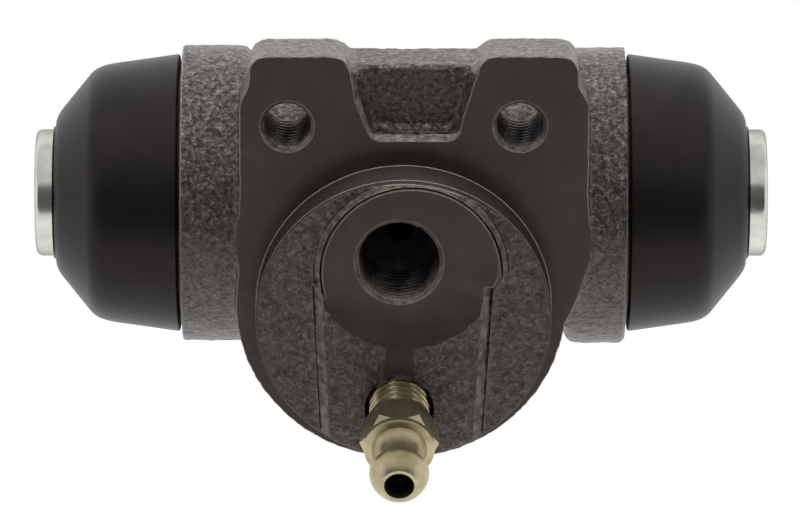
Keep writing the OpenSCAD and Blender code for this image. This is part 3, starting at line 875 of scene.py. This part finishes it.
cup_rubber = moulded_rubber("cup_rubber", "#1c1b1b", "#2a2828", roughness=0.4)
pressed_sheet = drawn_wire()
pressed_sheet.name = "pressed_steel_sheet"
for name in ("left", "right"):
    cup = frame["nodes"][f"piston_cup_{name}"]
    cup.data.materials.clear()
    cup.data.materials.append(cup_rubber)
    expander = frame["nodes"][f"cup_expander_{name}"]
    expander.data.materials.clear()
    expander.data.materials.append(pressed_sheet)


# Pistons
# Each is turned from aluminium bar: a skirt that runs in the bore and a nose that pushes the shoe.
# A groove in the nose holds the small end of the boot.
def turned_aluminium():
    # Turned aluminium: bright, a little hazy, with fine feed marks round it.
    material, tree, shader = finish("turned_aluminium", Metallic=1.0, Specular_Tint=linear("#b8b8b2"))
    place = add(tree, "ShaderNodeTexCoord").outputs["Object"]
    haze = add(tree, "ShaderNodeTexNoise", {"Vector": place, "Scale": 1 / (2.5 * MM), "Detail": 5})
    shade = add(tree, "ShaderNodeValToRGB", {"Fac": haze.outputs["Fac"]})
    set_stops(shade, 0.3, "#c6c6be", 0.7, "#e2e2da")
    tree.links.new(shade.outputs["Color"], shader.inputs["Base Color"])
    dull = add(tree, "ShaderNodeMapRange", {"Value": haze.outputs["Fac"], "To Min": 0.16, "To Max": 0.3})
    tree.links.new(dull.outputs["Result"], shader.inputs["Roughness"])
    feed_marks = add(
        tree,
        "ShaderNodeTexWave",
        {"Vector": place, "Scale": 1 / (2.4 * MM), "Distortion": 0.2},
        wave_type="BANDS",
        bands_direction="X",
    )
    bump = add(
        tree,
        "ShaderNodeBump",
        {"Height": feed_marks.outputs["Fac"], "Strength": 0.1, "Distance": 0.02 * MM},
    )
    tree.links.new(bump.outputs["Normal"], shader.inputs["Normal"])
    return material


piston_metal = turned_aluminium()
skirt_r = bore_r - piston_play
skirt_l = 16.5
nose_r = 7.5
nose_fillet = 0.6
nose_groove_r = nose_r - 0.9
nose_groove_in = 2.4
nose_groove_w = 2.2
piston_chamfer = 0.75
nose_round_r = nose_r - piston_chamfer
nose_face_r = nose_round_r - 0.2
for side, name in ((-1, "left"), (1, "right")):
    low, high = [corner.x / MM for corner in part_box(f"piston_{name}")]
    inner, outer = sorted((abs(low), abs(high)))
    shoulder = inner + skirt_l
    groove_out = outer - nose_groove_in
    groove_in = groove_out - nose_groove_w
    outline = [(0, inner), (skirt_r - piston_chamfer, inner), (skirt_r, inner + piston_chamfer)]
    outline += [(skirt_r, shoulder - piston_chamfer), (skirt_r - piston_chamfer, shoulder)]
    outline += arc((nose_r + nose_fillet, shoulder + nose_fillet), nose_fillet, 270, 180, 5)
    outline += [(nose_r, groove_in), (nose_groove_r, groove_in)]
    outline += [(nose_groove_r, groove_out), (nose_r, groove_out), (nose_r, outer - piston_chamfer)]
    outline += arc((nose_round_r, outer - piston_chamfer), piston_chamfer, 12, 84, 5)
    outline += [(nose_face_r, outer), (0, outer)]
    piston = piece(f"turned_piston_{name}", [turned(outline, ENDS[side], steps=144)])
    piston.data.materials.append(piston_metal)
    smooth(piston, 30)
    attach(piston, f"{name}_piston")
    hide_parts(f"piston_{name}")


# Dust boots
# Each is moulded in black rubber: a lip against the collar, a skirt over the neck, and a cone to the nose.
# Beads inside it snap into the grooves of the neck and the nose.
def along_curve(points, steps=22):
    """Points along a cubic curve with four control points."""
    found = []
    for i in range(steps + 1):
        t = i / steps
        weights = ((1 - t) ** 3, 3 * t * (1 - t) ** 2, 3 * t * t * (1 - t), t**3)
        found.append(tuple(sum(w * p[k] for w, p in zip(weights, points)) for k in (0, 1)))
    return found


boot_rubber = moulded_rubber("boot_rubber", "#0c0b0b", "#141312", roughness=0.37)
neck_grip_r = bore_r + 3.75
boot_wall = 1.6
boot_r = neck_grip_r + boot_wall
lip_r = boot_r + 0.75
lip_round = 0.3
nose_grip_r = nose_r + 0.05
nose_lip = 0.28
boot_skirt_l = 5.6
shoulder_r = boot_r - 0.35
shoulder_l = 2.6
cone_r = boot_r - 1.7
cone_l = 4.25
cone_lead_r = cone_r + 1.2
cone_lead_l = cone_l + 0.95
cone_end_r = nose_grip_r + 2.85
cone_end_l = 1.35
boot_drop = boot_r - nose_r
slant_wall = boot_wall * math.sin(math.radians(45))
bead_r = nose_grip_r - 0.9
neck_bead_r = neck_grip_r - 1
neck_bead_in = collar_face + 1.25
neck_bead_out = collar_face + 3.35
for side, name in ((-1, "left"), (1, "right")):
    low, high = [corner.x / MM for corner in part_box(f"dust_boot_{name}")]
    mouth_x, end_x = sorted((abs(low), abs(high)))
    skirt_x = mouth_x + boot_skirt_l
    bead_in = end_x - 2.45
    bead_out = end_x - 0.35
    shoulder = [(boot_r, skirt_x), (shoulder_r, skirt_x + shoulder_l)]
    shoulder += [(cone_lead_r, end_x - cone_lead_l), (cone_r, end_x - cone_l)]
    end_round = [(cone_end_r, end_x - cone_end_l), (cone_end_r - 0.8, end_x - 0.7)]
    end_round += [(cone_end_r - 1.4, end_x - nose_lip), (nose_grip_r + 0.75, end_x - nose_lip)]
    outside = along_curve(shoulder) + along_curve(end_round, 10)
    inside = along_curve(
        [
            (nose_grip_r, bead_in),
            (nose_r + boot_drop / 2 - slant_wall, end_x - 1.6 - slant_wall),
            (boot_r - boot_drop / 10 - boot_wall, end_x - 3.6 - boot_wall),
            (neck_grip_r, neck_end),
        ]
    )
    outline = [(neck_grip_r, mouth_x)]
    outline += arc((lip_r - lip_round, mouth_x + lip_round), lip_round, -90, 8, 5)
    outline += outside
    outline += [(nose_grip_r + nose_lip, end_x - nose_lip), (nose_grip_r + nose_lip, end_x)]
    outline += [(nose_grip_r, end_x), (nose_grip_r, bead_out), (bead_r, bead_out), (bead_r, bead_in)]
    outline += inside
    outline += [(neck_grip_r, neck_bead_out), (neck_bead_r, neck_bead_out)]
    outline += [(neck_bead_r, neck_bead_in), (neck_grip_r, neck_bead_in)]
    boot = piece(f"moulded_boot_{name}", [turned(outline, ENDS[side], ring=True, steps=144)])
    boot.data.materials.append(boot_rubber)
    smooth(boot, 40)
    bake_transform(boot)
    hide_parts(f"dust_boot_{name}")


# Bleed screw
# A steel screw, zinc plated and passivated yellow: a conical point, a thread, a hexagon and a hose nipple.
# It is drilled down from the nipple to a cross hole behind its point.
def yellow_zinc():
    # Yellow zinc plate: a pale straw metal, cloudy and half bright.
    material, tree, shader = finish("yellow_zinc_plate", Metallic=1.0)
    place = add(tree, "ShaderNodeTexCoord").outputs["Object"]
    cloud = add(
        tree,
        "ShaderNodeTexNoise",
        {"Vector": place, "Scale": 1 / (3 * MM), "Detail": 6, "Roughness": 0.6},
    )
    shade = add(tree, "ShaderNodeValToRGB", {"Fac": cloud.outputs["Fac"]})
    set_stops(shade, 0.3, "#a0976f", 0.72, "#cdc1a3")
    tree.links.new(shade.outputs["Color"], shader.inputs["Base Color"])
    dull = add(tree, "ShaderNodeMapRange", {"Value": cloud.outputs["Fac"], "To Min": 0.26, "To Max": 0.42})
    tree.links.new(dull.outputs["Result"], shader.inputs["Roughness"])
    fine = add(tree, "ShaderNodeTexNoise", {"Vector": place, "Scale": 1 / (0.4 * MM), "Detail": 3})
    bump = add(
        tree,
        "ShaderNodeBump",
        {"Height": fine.outputs["Fac"], "Strength": 0.15, "Distance": 0.03 * MM},
    )
    tree.links.new(bump.outputs["Normal"], shader.inputs["Normal"])
    return material


PLATED, DRILLING_SHADE = range(2)
hex_out = 4.7
hex_l = 4.7
hex_end = hex_out + hex_l
hex_half = 4
hex_corner_r = hex_half / math.cos(math.radians(30))
hex_bevel = hex_corner_r - hex_half
nipple_root_r = 3.2
nipple_neck_r = 2.6
nipple_r = 3.475
nipple_end_r = 2.1
nipple_neck_end = hex_end + 3.7
nipple_end = hex_end + 7.2
bulge = nipple_neck_end + nipple_r - nipple_neck_r
screw_bore_r = 1
screw_mouth_r = 1.675
point_r = 2.5
point_end_r = 0.9
seat_gap = 0.07
cone_start = -(bleed_depth + bleed_hole_r - seat_gap - point_r)
cone_end = cone_start - (point_r - point_end_r)
thread_start = cone_start + 2

dome_turn = math.degrees(math.acos(nipple_end_r / nipple_r))
dome_l = nipple_end - bulge
dome = [
    (radius, bulge + (along - bulge) * dome_l / (nipple_r * math.sin(math.radians(dome_turn))))
    for radius, along in arc((0, bulge), nipple_r, 0, dome_turn, 12)
]
stem_outline = [(0, cone_end), (point_end_r, cone_end), (point_r, cone_start), (point_r, thread_start)]
stem_outline += [(point_r, hex_end), (nipple_root_r, hex_end)]
stem_outline += along_curve(
    [
        (nipple_root_r, hex_end),
        (nipple_neck_r, hex_end + 1.2),
        (nipple_neck_r, hex_end + 2.2),
        (nipple_neck_r, nipple_neck_end),
    ],
    8,
)
stem_outline += dome + [(0, nipple_end)]
screw = piece("bleed_screw_plated", [turned(stem_outline, BLEED, steps=72)])

hexagon = bmesh.new()
bmesh.ops.create_cone(
    hexagon, cap_ends=True, segments=6, radius1=hex_corner_r, radius2=hex_corner_r, depth=hex_l
)
bmesh.ops.translate(hexagon, vec=(0, 0, (hex_out + hex_end) / 2), verts=hexagon.verts)
corner_turn = max(math.atan2(v.co.y, v.co.x) for v in hexagon.verts)
bmesh.ops.rotate(hexagon, matrix=Matrix.Rotation(-corner_turn, 3, "Z"), verts=hexagon.verts)
bmesh.ops.transform(hexagon, matrix=BLEED, verts=hexagon.verts)
nut = piece("hexagon", [hexagon])
ring_r = 4.1
ring_l = 0.75
ring_round = 0.2
bevel_start = hex_end - 1.5
bevel_outline = [(0, hex_out), (hex_half, hex_out), (hex_corner_r, hex_out + hex_bevel)]
bevel_outline += [(hex_corner_r, bevel_start), (hex_half, hex_end - ring_l), (0, hex_end - ring_l)]
machine(nut, [turned(bevel_outline, BLEED)], PLATED, "INTERSECT")
ring_outline = [(0, bevel_start), (ring_r, bevel_start), (ring_r, hex_end - ring_round)]
ring_outline += arc((ring_r - ring_round, hex_end - ring_round), ring_round, 0, 90, 4) + [(0, hex_end)]
machine(nut, [turned(ring_outline, BLEED)], PLATED, "UNION")

nut_shape = bmesh.new()
nut_shape.from_mesh(nut.data)
bmesh.ops.scale(nut_shape, vec=(1 / MM, 1 / MM, 1 / MM), verts=nut_shape.verts)
bpy.data.objects.remove(nut)
hex_lap = 0.5
screw_thread_depth = 0.45
screw_thread = tap(
    bleed_r, thread_pitch, thread_start, hex_out + hex_lap, BLEED, screw_thread_depth, segments=60
)
machine(screw, [nut_shape, screw_thread], PLATED, "UNION")
screw.data.materials.clear()
screw.data.materials.append(yellow_zinc())
# The drilling is left unplated, and its near-black colour is painted shade down the narrow bore.
screw.data.materials.append(finish("drilling_painted_shade", Base_Color=linear("#1c1912"), Roughness=0.5)[0])
counterbore_r = screw_mouth_r - 0.1
counterbore_end = nipple_end - 0.3
drill_past = nipple_end + 0.2
screw_drill = [(0, cone_start), (screw_bore_r, cone_start), (screw_bore_r, nipple_end - 3.2)]
screw_drill += [(counterbore_r, nipple_end - 2.6), (counterbore_r, counterbore_end)]
screw_drill += [(screw_mouth_r + 0.2, drill_past), (0, drill_past)]
cross_r = 0.7
cross_half = 5
cross_up = 1.4
across = Matrix.Rotation(math.pi / 2, 4, "Y")
cross_place = BLEED @ Matrix.Translation((0, 0, cone_start + cross_up)) @ across
cross_outline = [(0, -cross_half), (cross_r, -cross_half), (cross_r, cross_half), (0, cross_half)]
drillings = [turned(screw_drill, BLEED, steps=48), turned(cross_outline, cross_place, steps=32)]
# Painted shade: the drillings take the near-black finish.
machine(screw, drillings, DRILLING_SHADE)
smooth(screw, 32)
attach(screw, "bleeder")
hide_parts("bleed_screw")


# Studio
# A white floor and surroundings, one broad soft lamp overhead, a dark card in front and a grey ceiling.
# The bright metal mirrors the card as a dark band and the ceiling as a grey one, and no camera sees them.
def sheet(name, half_w, half_d, place):
    """A flat sheet of the studio."""
    bm = bmesh.new()
    bmesh.ops.create_grid(bm, x_segments=1, y_segments=1, size=1)
    bmesh.ops.transform(bm, matrix=place @ Matrix.Diagonal((half_w, half_d, 1, 1)), verts=bm.verts)
    return piece(name, [bm])


def white_for_eye(tree, lit):
    """A share that is one for rays from the eye, a mirror or glass, and lit for the rest."""
    path = add(tree, "ShaderNodeLightPath")
    seen = add(
        tree,
        "ShaderNodeMath",
        {0: path.outputs["Is Camera Ray"], 1: path.outputs["Is Glossy Ray"]},
        operation="MAXIMUM",
    )
    seen = add(
        tree,
        "ShaderNodeMath",
        {0: seen.outputs["Value"], 1: path.outputs["Is Transmission Ray"]},
        operation="MAXIMUM",
    )
    share = add(tree, "ShaderNodeMapRange", {"Value": seen.outputs["Value"], "To Min": lit, "To Max": 1.0})
    return share.outputs["Result"]


scene = bpy.context.scene
scene.view_settings.view_transform = "Standard"
scene.world = bpy.data.worlds.new("studio")
scene.world.use_nodes = True
sky = scene.world.node_tree.nodes["Background"]
sky.inputs["Color"].default_value = linear("#ffffff")
fill_level = 0.23
scene.world.node_tree.links.new(white_for_eye(scene.world.node_tree, fill_level), sky.inputs["Strength"])

floor_half = 3000
floor_up = -200
floor_glow = 0.9
floor = sheet("floor", floor_half, floor_half, Matrix.Translation((0, 0, floor_up)))
paper, tree, shader = finish("white_paper", Base_Color=linear("#f4f4f3"), Roughness=0.9)
glow = add(tree, "ShaderNodeEmission", {"Color": linear("#ffffff"), "Strength": 1.0})
whiten = add(tree, "ShaderNodeMath", {0: white_for_eye(tree, 0.0), 1: floor_glow}, operation="MULTIPLY")
mixed = add(
    tree,
    "ShaderNodeMixShader",
    {0: whiten.outputs["Value"], 1: shader.outputs["BSDF"], 2: glow.outputs["Emission"]},
)
tree.links.new(mixed.outputs["Shader"], tree.nodes["Material Output"].inputs["Surface"])
floor.data.materials.append(paper)

card_half_w = 800
card_half_h = 265
card_middle = (0, -520, 100)
card = sheet("dark_card", card_half_w, card_half_h, out_of_face(*card_middle))
felt = finish("dark_felt", Base_Color=linear("#494949"), Roughness=1.0, Specular_IOR_Level=0.0)[0]
card.data.materials.append(felt)
card.visible_camera = False

ceiling_half_w = 1400
ceiling_half_d = 700
ceiling_middle = (0, -340, 640)
ceiling_glow = 0.72
ceiling = sheet("grey_ceiling", ceiling_half_w, ceiling_half_d, Matrix.Translation(ceiling_middle))
scrim, tree, _ = finish("grey_scrim")
dim = add(tree, "ShaderNodeEmission", {"Color": linear("#ffffff"), "Strength": ceiling_glow})
tree.links.new(dim.outputs["Emission"], tree.nodes["Material Output"].inputs["Surface"])
ceiling.data.materials.append(scrim)
ceiling.visible_camera = False
ceiling.visible_diffuse = False
ceiling.visible_shadow = False

lamp = bpy.data.lights.new("overhead_softbox", "AREA")
lamp.shape = "RECTANGLE"
lamp.size = 0.8
lamp.size_y = 0.6
lamp.energy = 15
softbox = bpy.data.objects.new("overhead_softbox", lamp)
softbox.location = (0, 0.08, 0.6)
softbox.visible_glossy = False
scene.collection.objects.link(softbox)


# Camera
# It looks down at 20 degrees to the mounting face's normal, from 0.9 m off the middle of the bore.
# Its aim sets the middle of the bore at its place in the picture.
camera_rise = math.radians(20)
camera_reach = 0.9
pixels_per_metre = 8430
picture_w = 800
picture_h = 530
bore_middle_px = (403.6, 192.5)
towards_camera = Vector((0, -math.cos(camera_rise), math.sin(camera_rise)))
camera_up = Vector((0, math.sin(camera_rise), math.cos(camera_rise)))
bore_middle = Vector((0, bore_y, bore_z)) * MM
aim = bore_middle - camera_up * ((picture_h / 2 - bore_middle_px[1]) / pixels_per_metre)
aim.x -= (bore_middle_px[0] - picture_w / 2) / pixels_per_metre
camera_data = bpy.data.cameras.new("camera")
camera_data.sensor_width = 36
camera_data.lens = camera_data.sensor_width * pixels_per_metre * camera_reach / picture_w
camera = bpy.data.objects.new("camera", camera_data)
camera.location = bore_middle + towards_camera * camera_reach
camera.rotation_euler = (aim - camera.location).to_track_quat("-Z", "Y").to_euler()
scene.collection.objects.link(camera)
scene.camera = camera
